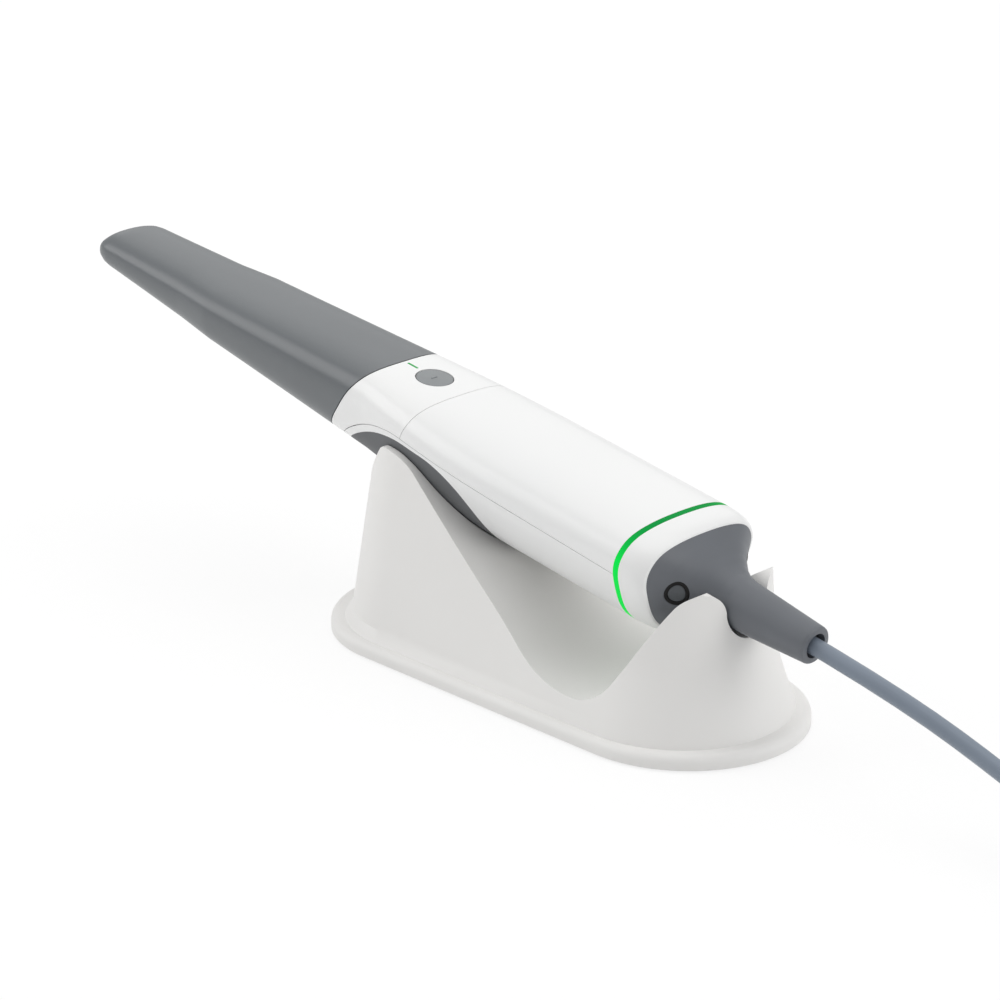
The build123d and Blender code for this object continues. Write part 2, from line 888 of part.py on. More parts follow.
# Optics block at the front of the chassis, with a projector lens between two camera lenses
lens_length = optics_end - optics_front + lens_reach
lens_front = optics_front - lens_reach
camera_offsets = (-camera_spread / 2, camera_spread / 2)
with BuildPart() as optics_block:
    add(slab(optics_front, optics_end, optics_half_width, -optics_bottom_depth, -optics_top_depth))
    with BuildSketch(across(optics_front)):
        with Locations((0, -lens_depth)):
            Circle(projector_diameter / 2)
        with Locations(*[(shift, -lens_depth) for shift in camera_offsets]):
            Circle(camera_diameter / 2)
    extrude(amount=optics_end - optics_front, mode=Mode.SUBTRACT)
optics_block.part.label = "optics_block"
export_step(optics_block.part, "parts/optics_block.step")

with BuildPart() as projector_lens:
    add(rod(spot(lens_front, 0, -lens_depth), axis, projector_diameter, lens_length))
projector_lens.part.label = "projector_lens"
export_step(projector_lens.part, "parts/projector_lens.step")

with BuildPart() as camera_lenses:
    for shift in camera_offsets:
        add(rod(spot(lens_front, shift, -lens_depth), axis, camera_diameter, lens_length))
camera_lenses.part.label = "camera_lenses"
export_step(camera_lenses.part, "parts/camera_lenses.step")

with BuildPart() as sensor_board:
    add(
        slab(
            optics_end,
            optics_end + board_thickness,
            optics_half_width,
            -chassis_top_depth,
            sensor_board_height - chassis_top_depth,
        )
    )
sensor_board.part.label = "sensor_board"
export_step(sensor_board.part, "parts/sensor_board.step")


# Cradle: two pillars with a valley between them, hollow below
def root_flare(root, root_height, height):
    fall = max(0, 1 - max(0, height) / root_height)
    return root * fall**root_power


pillar_ends = [
    (-1, pillar_front_radius, pillar_front_top_radius, pillar_front_root, pillar_front_root_height),
    (1, pillar_rear_radius, pillar_rear_top_radius, pillar_rear_root, pillar_rear_root_height),
]
rear_root_heights = [pillar_rear_root_height * step / root_steps for step in range(1, root_steps + 1)]
root_heights = [0, pillar_front_root_height] + rear_root_heights


def pillar(inset):
    with BuildPart() as form:
        for height in [foot_height, *[base_top + rise for rise in root_heights], pillar_top]:
            share = (height - foot_height) / (pillar_top - foot_height)
            with BuildSketch(Plane.XY.offset(height)):
                with BuildLine():
                    for side, low, high, root, root_height in pillar_ends:
                        flare = root_flare(root, root_height, height - base_top)
                        radius = low + share * (high - low) + flare - inset
                        CenterArc((side * pillar_centre_spread / 2, 0), radius, 0, 360)
                make_hull()
        loft(ruled=True)
    return form.part


def valley(lowering):
    front_run = pillar_top
    front_drop = front_run * tan(radians(horn_front_slope))
    with BuildPart() as form:
        with BuildSketch(Plane.XZ):
            with BuildLine():
                edge = FilletPolyline(
                    (horn_front_x - front_run, horn_front_z - front_drop),
                    (horn_front_x, horn_front_z),
                    (horn_front_back_x, horn_front_z),
                    (valley_start_x, valley_floor_z),
                    (valley_end_x, valley_floor_z),
                    (horn_rear_x, horn_rear_z),
                    (cradle_length, horn_rear_z),
                    radius=valley_radii,
                )
                Polyline(
                    edge @ 1,
                    (cradle_length, 2 * pillar_top),
                    (horn_front_x - front_run, 2 * pillar_top),
                    edge @ 0,
                )
            make_face()
            if lowering:
                offset(amount=lowering)
        extrude(amount=cradle_width, both=True)
    return form.part


def boot_slot(outset):
    wall = boot_slot_radius + outset
    lip = boot_slot_lip - outset
    with BuildPart() as form:
        with BuildSketch(Plane(origin=spot(collar_end, 0, -boot_axis_depth), x_dir=(0, 1, 0), z_dir=axis)):
            with BuildLine():
                CenterArc((0, 0), wall, 180, 180)
                RadiusArc((wall, 0), (wall + lip, lip), lip)
                Polyline(
                    (wall + lip, lip),
                    (cradle_width, lip),
                    (cradle_width, far_above),
                    (-cradle_width, far_above),
                    (-cradle_width, lip),
                    (-wall - lip, lip),
                )
                RadiusArc((-wall - lip, lip), (-wall, 0), lip)
            make_face()
        extrude(amount=boot_end)
    return form.part


base_screw_places = GridLocations(base_screw_spread_x, base_screw_spread_y, 2, 2)
plate_top = foot_height + plate_thickness
with BuildPart() as cradle_cavity:
    add(pillar(cradle_wall))
    add(valley(cradle_wall), mode=Mode.SUBTRACT)
    add(prism(tail_outline(1, -rest_gap - cradle_wall), handle_cavity_front, boot_start), mode=Mode.SUBTRACT)
    add(boot_slot(cradle_wall), mode=Mode.SUBTRACT)
    with BuildSketch(Plane.XY.offset(plate_top)):
        with base_screw_places:
            Circle(base_boss_diameter / 2)
    extrude(amount=base_boss_top - plate_top, mode=Mode.SUBTRACT)

with BuildPart() as cradle:
    with BuildSketch(Plane.XY.offset(foot_height)):
        SlotOverall(cradle_length, cradle_width)
    extrude(amount=base_top - foot_height)
    upper_rim = faces().sort_by(Axis.Z)[-1].edges()
    fillet(upper_rim, base_edge_radius)
    add(pillar(0))
    add(valley(0), mode=Mode.SUBTRACT)
    add(handpiece_form(handle_cavity_front, ring_end, -rest_gap), mode=Mode.SUBTRACT)
    add(prism(tail_outline(1, -rest_gap), ring_end, collar_end), mode=Mode.SUBTRACT)
    add(tail_form(rest_gap), mode=Mode.SUBTRACT)
    add(boot_slot(0), mode=Mode.SUBTRACT)
    add(cradle_cavity.part, mode=Mode.SUBTRACT)
    with BuildSketch(Plane.XY.offset(foot_height)):
        SlotOverall(cradle_length - 2 * plate_rim, cradle_width - 2 * plate_rim)
    extrude(amount=plate_thickness, mode=Mode.SUBTRACT)
    with BuildSketch(Plane.XY.offset(plate_top)):
        with base_screw_places:
            Circle(base_screw_diameter / 2)
    extrude(amount=base_screw_length - plate_thickness, mode=Mode.SUBTRACT)
cradle.part.label = "cradle"
export_step(cradle.part, "parts/cradle.step")

# Plate that closes the underside
with BuildPart() as base_plate:
    with BuildSketch(Plane.XY.offset(foot_height)):
        SlotOverall(cradle_length - 2 * (plate_rim + plate_gap), cradle_width - 2 * (plate_rim + plate_gap))
    extrude(amount=plate_thickness)
    with BuildSketch(Plane.XY.offset(foot_height)):
        with base_screw_places:
            Circle(base_screw_diameter / 2)
    extrude(amount=plate_thickness, mode=Mode.SUBTRACT)
    with BuildSketch(Plane.XY.offset(foot_height)):
        with base_screw_places:
            Circle(base_screw_head_diameter / 2)
    extrude(amount=base_screw_head_height, mode=Mode.SUBTRACT)
base_plate.part.label = "base_plate"
export_step(base_plate.part, "parts/base_plate.step")

with BuildPart() as base_screws:
    with BuildSketch(Plane.XY.offset(foot_height)):
        with base_screw_places:
            Circle(base_screw_head_diameter / 2)
    extrude(amount=base_screw_head_height)
    with BuildSketch(Plane.XY.offset(foot_height)):
        with base_screw_places:
            Circle(base_screw_diameter / 2)
    extrude(amount=base_screw_length)
base_screws.part.label = "base_screws"
export_step(base_screws.part, "parts/base_screws.step")

# Steel weight on the plate, under the valley
with BuildPart() as base_weight:
    with BuildSketch(Plane.XY.offset(plate_top)):
        with Locations((weight_x, 0)):
            RectangleRounded(weight_length, weight_width, weight_height)
    extrude(amount=weight_height)
base_weight.part.label = "base_weight"
export_step(base_weight.part, "parts/base_weight.step")

# Rubber mat that the cradle stands on, over the screw heads
with BuildPart() as foot_mat:
    with BuildSketch(Plane.XY):
        SlotOverall(cradle_length - 2 * mat_rim, cradle_width - 2 * mat_rim)
    extrude(amount=foot_height)
foot_mat.part.label = "foot_mat"
export_step(foot_mat.part, "parts/foot_mat.step")

# Cable: straight out of the boot, sagging to the surface and into its coil
cable_radius = cable_diameter / 2
coil_base = tie_thickness
coil_half_width = coil_columns * cable_radius
coil_height = coil_layers * cable_diameter
coil_outer = coil_mid_radius + coil_half_width
coil_inner = coil_mid_radius - coil_half_width
outer_turn_radius = coil_outer - cable_radius
coil_entry = (coil_centre_x, coil_centre_y - outer_turn_radius, coil_base + cable_radius)
lead_route = [
    tuple(spot(cable_start, 0, -boot_axis_depth)),
    tuple(spot(cable_start + cable_straight, 0, -boot_axis_depth)),
    *cable_sag,
    coil_entry,
]

# The end of the last turn lifts off the coil in a quarter bend and carries the plug across the coil's top
plug_axis_z = coil_base + coil_height + data_plug_height / 2
last_turn_z = coil_base + coil_height + cable_radius
tail_centre_y = coil_centre_y - outer_turn_radius + tail_bend_radius
tail_route = []
for step in range(tail_bend_points):
    share = step / (tail_bend_points - 1)
    turn = radians(90 * share - 90)
    tail_route.append(
        (
            coil_centre_x + tail_bend_radius * cos(turn),
            tail_centre_y + tail_bend_radius * sin(turn),
            last_turn_z + share * (plug_axis_z - last_turn_z),
        )
    )


def bend_radii(route):
    radii = []
    for before, corner, after in zip(route, route[1:], route[2:]):
        run_in = Vector(*corner) - Vector(*before)
        run_out = Vector(*after) - Vector(*corner)
        half_turn = radians(run_in.get_angle(run_out)) / 2
        radii.append(bend_share * min(run_in.length, run_out.length) / tan(half_turn))
    return radii


with BuildPart() as cable:
    for route in (lead_route, tail_route):
        radii = bend_radii(route)
        with BuildLine() as path:
            FilletPolyline(*route, radius=radii)
        with BuildSketch(Plane(origin=path.line @ 0, z_dir=path.line % 0)):
            Circle(cable_radius)
        sweep(path=path.line)
        length = sum(edge.length for edge in path.edges())
        print("cable bend radii", [round(radius, 1) for radius in radii], "length", round(length, 1))
cable.part.label = "cable"
export_step(cable.part, "parts/cable.step")

with BuildPart() as cable_coil:
    with BuildSketch(Plane.XY.offset(coil_base)):
        with Locations((coil_centre_x, coil_centre_y)):
            Circle(coil_outer)
            Circle(coil_inner, mode=Mode.SUBTRACT)
    extrude(amount=coil_height)
    chamfer(edges().filter_by(GeomType.CIRCLE), cable_radius / 2)
cable_coil.part.label = "cable_coil"
export_step(cable_coil.part, "parts/cable_coil.step")

with BuildPart() as cable_tie:
    tie_x = coil_centre_x - coil_mid_radius
    tie_plane = Plane(origin=(tie_x, coil_centre_y, coil_base + coil_height / 2), x_dir=(1, 0, 0), z_dir=(0, 1, 0))
    turn_bulge = coil_inner - (coil_inner**2 - (tie_width / 2) ** 2) ** 0.5
    tie_inner_width = 2 * (coil_half_width + turn_bulge + tie_gap)
    with BuildSketch(tie_plane):
        RectangleRounded(tie_inner_width + 2 * tie_thickness, coil_height + 2 * tie_thickness, cable_radius)
        RectangleRounded(tie_inner_width, coil_height, cable_radius - tie_thickness, mode=Mode.SUBTRACT)
    extrude(amount=tie_width / 2, both=True)
cable_tie.part.label = "cable_tie"
export_step(cable_tie.part, "parts/cable_tie.step")

# Data plug lying across the coil: moulded body and metal shell with its tongue
plug_plane = Plane(origin=tail_route[-1], x_dir=(-1, 0, 0), z_dir=(0, 1, 0))
with BuildPart() as plug_body:
    with BuildSketch(plug_plane):
        RectangleRounded(data_plug_width, data_plug_height, data_plug_edge)
    extrude(amount=data_plug_length)
    fillet(faces().sort_by(Axis.Y)[0].edges(), data_plug_edge / 2)
    fillet(faces().sort_by(Axis.Y)[-1].edges(), data_plug_edge / 2)
plug_body.part.label = "plug_body"
export_step(plug_body.part, "parts/plug_body.step")

with BuildPart() as plug_shell:
    with BuildSketch(plug_plane.offset(data_plug_length)):
        Rectangle(plug_shell_width, plug_shell_height)
        Rectangle(
            plug_shell_width - 2 * plug_shell_wall,
            plug_shell_height - 2 * plug_shell_wall,
            mode=Mode.SUBTRACT,
        )
        tongue_drop = (plug_shell_height - 2 * plug_shell_wall - plug_tongue_height) / 2
        with Locations((0, -tongue_drop)):
            Rectangle(plug_shell_width - 2 * plug_shell_wall, plug_tongue_height)
    extrude(amount=plug_shell_length)
plug_shell.part.label = "plug_shell"
export_step(plug_shell.part, "parts/plug_shell.step")
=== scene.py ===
import json
import math
import bmesh
import bpy
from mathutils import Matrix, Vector
from mathutils.bvhtree import BVHTree


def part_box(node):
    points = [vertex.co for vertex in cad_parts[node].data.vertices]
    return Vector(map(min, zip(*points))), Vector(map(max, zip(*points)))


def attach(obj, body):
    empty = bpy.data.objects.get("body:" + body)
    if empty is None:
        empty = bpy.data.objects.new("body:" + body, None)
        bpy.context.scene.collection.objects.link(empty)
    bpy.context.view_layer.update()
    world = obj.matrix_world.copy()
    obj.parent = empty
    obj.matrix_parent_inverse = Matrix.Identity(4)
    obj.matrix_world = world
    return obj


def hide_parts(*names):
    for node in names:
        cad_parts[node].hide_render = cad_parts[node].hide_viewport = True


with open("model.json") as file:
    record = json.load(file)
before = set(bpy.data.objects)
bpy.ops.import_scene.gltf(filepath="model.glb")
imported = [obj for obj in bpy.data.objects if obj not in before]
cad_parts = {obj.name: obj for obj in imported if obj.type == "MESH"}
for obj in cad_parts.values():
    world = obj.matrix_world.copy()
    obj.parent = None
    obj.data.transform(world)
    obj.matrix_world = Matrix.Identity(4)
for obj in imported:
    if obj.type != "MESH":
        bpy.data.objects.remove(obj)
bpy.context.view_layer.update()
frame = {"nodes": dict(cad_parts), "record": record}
nodes = frame["nodes"]
scene = bpy.context.scene
mm = 0.001
fullTurn = 360.0
print("frame loaded, nodes:", len(nodes))

# camera, looking down the handpiece from its cable end
view = {
    "azimuth": 45.42,  # degrees, from straight in front of the near side towards the cable
    "elevation": 20.97,
    "distance": 973.8 * mm,
    "target": Vector((-25.2, 0.0, 43.8)) * mm,
    "lens": 126.0,
    "sensor": 36.0,
    "clipStart": 0.05,
    "clipEnd": 40.0,
}
swing = math.radians(view["azimuth"])
lift = math.radians(view["elevation"])
back = Vector((math.sin(swing) * math.cos(lift), -math.cos(swing) * math.cos(lift), math.sin(lift)))
camData = bpy.data.cameras.new("productCamera")
camData.lens = view["lens"]
camData.sensor_width = view["sensor"]
camData.clip_start = view["clipStart"]
camData.clip_end = view["clipEnd"]
cam = bpy.data.objects.new("productCamera", camData)
cam.location = view["target"] + back * view["distance"]
cam.rotation_euler = back.to_track_quat("Z", "Y").to_euler()
scene.collection.objects.link(cam)
scene.camera = cam

# cable: out of the boot, down to the table, then the put-away turns and the plug's tail
cord = {
    "diameter": 4.7,
    "noseUp": 9.0,  # degrees that the handpiece leans in its cradle
    "ringTop": (41.0, 0.0, 58.8),  # top of the light ring, where stations along the handpiece start
    "axisDepth": 15.6,
    "start": 28.0,
    "straight": 48.0,
    "sag": [(162.5, -1.0, 17.5), (197.0, -4.0, 5.0)],
    "coilCentre": (226.0, 26.0),
    "coilMid": 26.0,  # radius of the middle column of turns
    "coilStart": -90.0,  # degrees, at the coil's near side
    "columns": 3,
    "layers": 4,
    "base": 0.8,
    "turns": 11,
    "stepsPerTurn": 24,
    "moveAngle": 60.0,  # degrees over which a turn shifts to the next place
    "tailBend": 28.0,
    "tailSweep": 90.0,
    "tailSteps": 6,
    "plugHeight": 8.0,
    "bevelSteps": 5,
    "curveSteps": 6,
}
lean = math.radians(cord["noseUp"])
alongAxis = Vector((math.cos(lean), 0, -math.sin(lean)))
upward = Vector((math.sin(lean), 0, math.cos(lean)))
sideways = Vector((0, 1, 0))


def onAxis(station, depth):
    x, y, z = cord["ringTop"]
    return (x + station * math.cos(lean) - depth * math.sin(lean), y,
            z - station * math.sin(lean) - depth * math.cos(lean))


def easeBetween(value, start, width):
    share = min(1.0, max(0.0, (value - start) / width))
    return share * share * (3 - 2 * share)


def coilPlace(angle):
    column = cord["columns"] - 1.0
    layer = 0.0
    way = -1.0
    event = fullTurn - cord["moveAngle"]
    for _ in range(cord["layers"]):
        for shift in range(cord["columns"] - 1):
            column += way * easeBetween(angle, event + shift * fullTurn, cord["moveAngle"])
        # climbs and shifts each come one move's angle earlier in the turn, so turns never cross
        climb = event + (cord["columns"] - 1) * fullTurn - cord["moveAngle"]
        layer += easeBetween(angle, climb, cord["moveAngle"])
        event = climb + fullTurn - cord["moveAngle"]
        way = -way
    return column, layer


cableRadius = cord["diameter"] / 2
straightEnd = cord["start"] + cord["straight"]
route = [onAxis(cord["start"], cord["axisDepth"]), onAxis(straightEnd, cord["axisDepth"])]
route += cord["sag"]
stepAngle = fullTurn / cord["stepsPerTurn"]
roundOut = 1 / math.cos(math.radians(stepAngle / 2))  # control points stand outside the circle they draw
cx, cy = cord["coilCentre"]
middleColumn = (cord["columns"] - 1) / 2
for step in range(cord["turns"] * cord["stepsPerTurn"] + 1):
    angle = step * stepAngle
    column, layer = coilPlace(angle)
    reach = cord["coilMid"] + (column - middleColumn) * cord["diameter"]
    heading = math.radians(angle + cord["coilStart"])
    out = reach if step == 0 else reach * roundOut
    height = cord["base"] + cableRadius + layer * cord["diameter"]
    route.append((cx + out * math.cos(heading), cy + out * math.sin(heading), height))
outerTurn = cord["coilMid"] + middleColumn * cord["diameter"]
tailCentreY = cy - outerTurn + cord["tailBend"]
coilTop = cord["base"] + cord["layers"] * cord["diameter"]
tailRise = cord["plugHeight"] / 2 - cableRadius
for step in range(1, cord["tailSteps"] + 1):
    share = step / cord["tailSteps"]
    heading = math.radians(cord["tailSweep"] * share + cord["coilStart"])
    height = coilTop + cableRadius + share * tailRise
    route.append((cx + cord["tailBend"] * math.cos(heading),
                  tailCentreY + cord["tailBend"] * math.sin(heading), height))
curve = bpy.data.curves.new("cableCurve", "CURVE")
curve.dimensions = "3D"
curve.bevel_depth = 1.0  # each point carries the cable's own radius
curve.bevel_resolution = cord["bevelSteps"]
curve.resolution_u = cord["curveSteps"]
curve.use_fill_caps = True
spline = curve.splines.new("NURBS")
spline.points.add(len(route) - 1)
for point, place in zip(spline.points, route):
    point.co = (place[0] * mm, place[1] * mm, place[2] * mm, 1)
    point.radius = cableRadius * mm
spline.order_u = 3
spline.use_endpoint_u = True
cable = bpy.data.objects.new("dataCable", curve)
scene.collection.objects.link(cable)
runLength = sum((Vector(b) - Vector(a)).length for a, b in zip(route, route[1:]))
print("cable control run mm", round(runLength))
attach(cable, "root")
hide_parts("cable", "cable_coil")


def toLinear(hexColour):
    parts = [int(hexColour[i:i + 2], 16) / 255 for i in (1, 3, 5)]
    return [c / 12.92 if c <= 0.04045 else ((c + 0.055) / 1.055) ** 2.4 for c in parts] + [1.0]


def addNode(tree, kind, inputs=None, **settings):
    node = tree.nodes.new(kind)
    for key, value in settings.items():
        setattr(node, key, value)
    for key, value in (inputs or {}).items():
        if isinstance(value, bpy.types.NodeSocket):
            tree.links.new(value, node.inputs[key])
        else:
            node.inputs[key].default_value = value
    return node


def startMaterial(name):
    material = bpy.data.materials.new(name)
    material.use_nodes = True
    tree = material.node_tree
    tree.nodes.clear()
    place = addNode(tree, "ShaderNodeTexCoord")
    return material, tree, place.outputs["Object"]


def closeMaterial(tree, shader):
    addNode(tree, "ShaderNodeOutputMaterial", {"Surface": shader.outputs[0]})


mixDark, mixLight, mixColour = 6, 7, 2  # the mix node's two colour inputs and its colour output

# moulded plastics and rubbers: a slow drift of shade, and the grain that the tool left on the surface
# real tool grain is mostly under 0.1 mm, and is drawn coarser so that it shows
mouldFinish = {"ior": 1.5, "driftDetail": 2.0, "grainDetail": 4.0, "roughSwing": 0.04, "grainDepth": 0.2,
               "coatRoughness": 0.08}


def moulded(name, look):
    material, tree, place = startMaterial(name)
    drift = addNode(tree, "ShaderNodeTexNoise", {"Vector": place, "Scale": 1 / (look["driftMm"] * mm),
                                                 "Detail": mouldFinish["driftDetail"]})
    shade = addNode(tree, "ShaderNodeMix", {0: drift.outputs["Fac"], mixDark: toLinear(look["dark"]),
                                            mixLight: toLinear(look["light"])}, data_type="RGBA")
    grain = addNode(tree, "ShaderNodeTexNoise", {"Vector": place, "Scale": 1 / (look["grainMm"] * mm),
                                                 "Detail": mouldFinish["grainDetail"]})
    rough = addNode(tree, "ShaderNodeMapRange", {"Value": grain.outputs["Fac"],
                                                 "To Min": look["roughness"] - mouldFinish["roughSwing"],
                                                 "To Max": look["roughness"] + mouldFinish["roughSwing"]})
    bump = addNode(tree, "ShaderNodeBump", {"Height": grain.outputs["Fac"], "Strength": look["bump"],
                                            "Distance": look["grainMm"] * mm * mouldFinish["grainDepth"]})
    shader = addNode(tree, "ShaderNodeBsdfPrincipled", {
        "Base Color": shade.outputs[mixColour], "Roughness": rough.outputs[0], "Normal": bump.outputs[0],
        "IOR": look.get("ior", mouldFinish["ior"]), "Coat Weight": look.get("coat", 0.0),
        "Coat Roughness": mouldFinish["coatRoughness"]})
    closeMaterial(tree, shader)
    return material


materials = {}
# ABS from a polished tool: bright, faintly cool, long soft highlights
materials["white_shell"] = moulded("polishedWhiteAbs", {
    "dark": "#E9EAEA", "light": "#F1F1F0", "driftMm": 60, "grainMm": 1.6, "roughness": 0.34, "bump": 0.02,
    "coat": 0.10})
# ABS from a spark-eroded tool: the cradle's even, slightly warm matt skin
materials["cradle_plastic"] = moulded("sparkErodedWhiteAbs", {
    "dark": "#E6E5E3", "light": "#EEEDEB", "driftMm": 70, "grainMm": 0.35, "roughness": 0.52, "bump": 0.10})
# polysulfone that stands the autoclave: mid grey with a satin sheen along its edges
materials["tip_plastic"] = moulded("satinGreyPolysulfone", {
    "dark": "#616568", "light": "#696D70", "driftMm": 35, "grainMm": 0.3, "roughness": 0.34, "bump": 0.06})
# satin ABS keycap: lighter grey than the tip, a soft even shine
materials["button_plastic"] = moulded("satinGreyAbsKeycap", {
    "dark": "#7B7F81", "light": "#838789", "driftMm": 6, "grainMm": 0.3, "roughness": 0.36, "bump": 0.05})
# overmoulded elastomer: dark, almost no shine
materials["pad_rubber"] = moulded("overmouldedDarkElastomer", {
    "dark": "#5A5C5E", "light": "#626467", "driftMm": 25, "grainMm": 0.25, "roughness": 0.55, "bump": 0.10})
# elastomer moulded in one with the cap: slightly cool grey, a dull broad sheen
materials["boot_rubber"] = moulded("mouldedGreyElastomer", {
    "dark": "#5E6166", "light": "#696D73", "driftMm": 20, "grainMm": 0.3, "roughness": 0.46, "bump": 0.08})
# nitrile seal: nearly black, hardly any reflection
materials["plug_rubber"] = moulded("mouldedBlackNitrile", {
    "dark": "#030303", "light": "#090909", "driftMm": 4, "grainMm": 0.2, "roughness": 0.6, "bump": 0.08,
    "ior": 1.4})
# small ABS disc: a shade darker than the cap around it
materials["plug_plastic"] = moulded("mouldedDarkGreyAbs", {
    "dark": "#4E5256", "light": "#565A5E", "driftMm": 4, "grainMm": 0.2, "roughness": 0.42, "bump": 0.06})
# polycarbonate barrel under the tip: matt black, so that no stray light reaches the lenses
materials["barrel_plastic"] = moulded("mattBlackPolycarbonate", {
    "dark": "#1B1B1C", "light": "#232324", "driftMm": 20, "grainMm": 0.25, "roughness": 0.6, "bump": 0.1})
# nylon switch body: dull black
materials["switch_plastic"] = moulded("mouldedBlackNylon", {
    "dark": "#161616", "light": "#202020", "driftMm": 3, "grainMm": 0.2, "roughness": 0.55, "bump": 0.08})
# ABS base plate from a textured tool: light grey with a coarse dry grain
materials["base_plastic"] = moulded("texturedGreyAbs", {
    "dark": "#C9C8C6", "light": "#D2D1CF", "driftMm": 40, "grainMm": 0.5, "roughness": 0.6, "bump": 0.2})
# silicone foot: soft charcoal, no shine
materials["foot_rubber"] = moulded("mouldedFootSilicone", {
    "dark": "#232323", "light": "#2C2C2C", "driftMm": 8, "grainMm": 0.3, "roughness": 0.7, "bump": 0.15})
# vinyl overmould on the data plug: the cable's blue grey, duller
materials["plug_moulding"] = moulded("overmouldedGreyVinyl", {
    "dark": "#6F7780", "light": "#7A828C", "driftMm": 14, "grainMm": 0.3, "roughness": 0.48, "bump": 0.1})
# paint wiped into the mark's groove: flat clear green
materials["mark_paint"] = moulded("paintFilledGreenMark", {
    "dark": "#009A40", "light": "#00AC48", "driftMm": 3, "grainMm": 0.2, "roughness": 0.45, "bump": 0.03,
    "ior": 1.3})
# extruded vinyl jacket: blue grey, satin, faint waviness from the extruder
materials["cable_jacket"] = moulded("extrudedVinylJacket", {
    "dark": "#747E8B", "light": "#7F8A98", "driftMm": 18, "grainMm": 1.2, "roughness": 0.38, "bump": 0.08})

# machined and plated metals: fine streaks along one direction, drawn coarser than real tool marks
metalFinish = {"streakDetail": 3.0, "roughSwing": 0.06}


def metal(name, look):
    material, tree, place = startMaterial(name)
    stretch = addNode(tree, "ShaderNodeMapping", {"Vector": place, "Scale": look["stretch"]})
    streak = addNode(tree, "ShaderNodeTexNoise", {
        "Vector": stretch.outputs[0], "Scale": 1 / (look["grainMm"] * mm),
        "Detail": metalFinish["streakDetail"]})
    shade = addNode(tree, "ShaderNodeMix", {0: streak.outputs["Fac"], mixDark: toLinear(look["dark"]),
                                            mixLight: toLinear(look["light"])}, data_type="RGBA")
    rough = addNode(tree, "ShaderNodeMapRange", {"Value": streak.outputs["Fac"],
                                                 "To Min": look["roughness"] - metalFinish["roughSwing"],
                                                 "To Max": look["roughness"] + metalFinish["roughSwing"]})
    shader = addNode(tree, "ShaderNodeBsdfPrincipled", {
        "Base Color": shade.outputs[mixColour], "Metallic": 1.0, "Roughness": rough.outputs[0]})
    closeMaterial(tree, shader)
    return material


# turned stainless steel: mid grey, streaks round the shank
materials["screw_steel"] = metal("turnedStainlessSteel", {
    "dark": "#8F9091", "light": "#A5A6A7", "grainMm": 0.5, "roughness": 0.32, "stretch": (1, 1, 0.1)})
# sawn mild steel: dark, dull, long saw marks
materials["weight_steel"] = metal("sawnMildSteel", {
    "dark": "#6F7072", "light": "#87888A", "grainMm": 0.8, "roughness": 0.45, "stretch": (0.1, 1, 1)})
# milled aluminium: pale, with cutter lines along the frame
materials["chassis_alloy"] = metal("milledAluminium", {
    "dark": "#B4B6B8", "light": "#C6C8CA", "grainMm": 0.6, "roughness": 0.38, "stretch": (0.1, 1, 1)})
# nickel plate on folded sheet: bright, faintly warm
materials["plug_metal"] = metal("nickelPlatedSteel", {
    "dark": "#9A9A98", "light": "#A9A9A7", "grainMm": 1.0, "roughness": 0.28, "stretch": (1, 0.1, 1)})
# front-silvered glass: a clear mirror
materials["mirror_glass"] = metal("frontSilveredGlass", {
    "dark": "#E6E8EA", "light": "#EEF0F2", "grainMm": 8.0, "roughness": 0.08, "stretch": (1, 1, 1)})

# coated window glass: clear with a faint cool cast that drifts over the pane
glassLook = {"dark": "#DDE8EE", "light": "#EEF3F6", "driftMm": 9, "roughness": 0.03, "ior": 1.52,
             "clear": 0.9}
windowGlass, tree, place = startMaterial("coatedWindowGlass")
cast = addNode(tree, "ShaderNodeTexNoise", {"Vector": place, "Scale": 1 / (glassLook["driftMm"] * mm)})
tint = addNode(tree, "ShaderNodeMix", {0: cast.outputs["Fac"], mixDark: toLinear(glassLook["dark"]),
                                       mixLight: toLinear(glassLook["light"])}, data_type="RGBA")
closeMaterial(tree, addNode(tree, "ShaderNodeBsdfPrincipled", {
    "Base Color": tint.outputs[mixColour], "Roughness": glassLook["roughness"], "IOR": glassLook["ior"],
    "Transmission Weight": glassLook["clear"]}))
materials["window_glass"] = windowGlass

# lit polycarbonate diffuser: a saturated green glow, strongest at the flanks where the lamps sit behind it
glow = {"body": "#005A22", "deep": "#0A7C36", "pale": "#10D848", "strength": 1.0, "topMm": 58.0,
        "flankMm": 51.0, "roughness": 0.5, "specular": 0.03}
diffuser, tree, place = startMaterial("litGreenPolycarbonate")
heights = addNode(tree, "ShaderNodeSeparateXYZ", {"Vector": place})
nearLamps = addNode(tree, "ShaderNodeMapRange", {
    "Value": heights.outputs["Z"], "From Min": glow["topMm"] * mm, "From Max": glow["flankMm"] * mm})
tone = addNode(tree, "ShaderNodeMix", {0: nearLamps.outputs[0], mixDark: toLinear(glow["deep"]),
                                       mixLight: toLinear(glow["pale"])}, data_type="RGBA")
closeMaterial(tree, addNode(tree, "ShaderNodeBsdfPrincipled", {
    "Base Color": toLinear(glow["body"]), "Roughness": glow["roughness"],
    "Specular IOR Level": glow["specular"], "Emission Color": tone.outputs[mixColour],
    "Emission Strength": glow["strength"]}))
materials["diffuser"] = diffuser

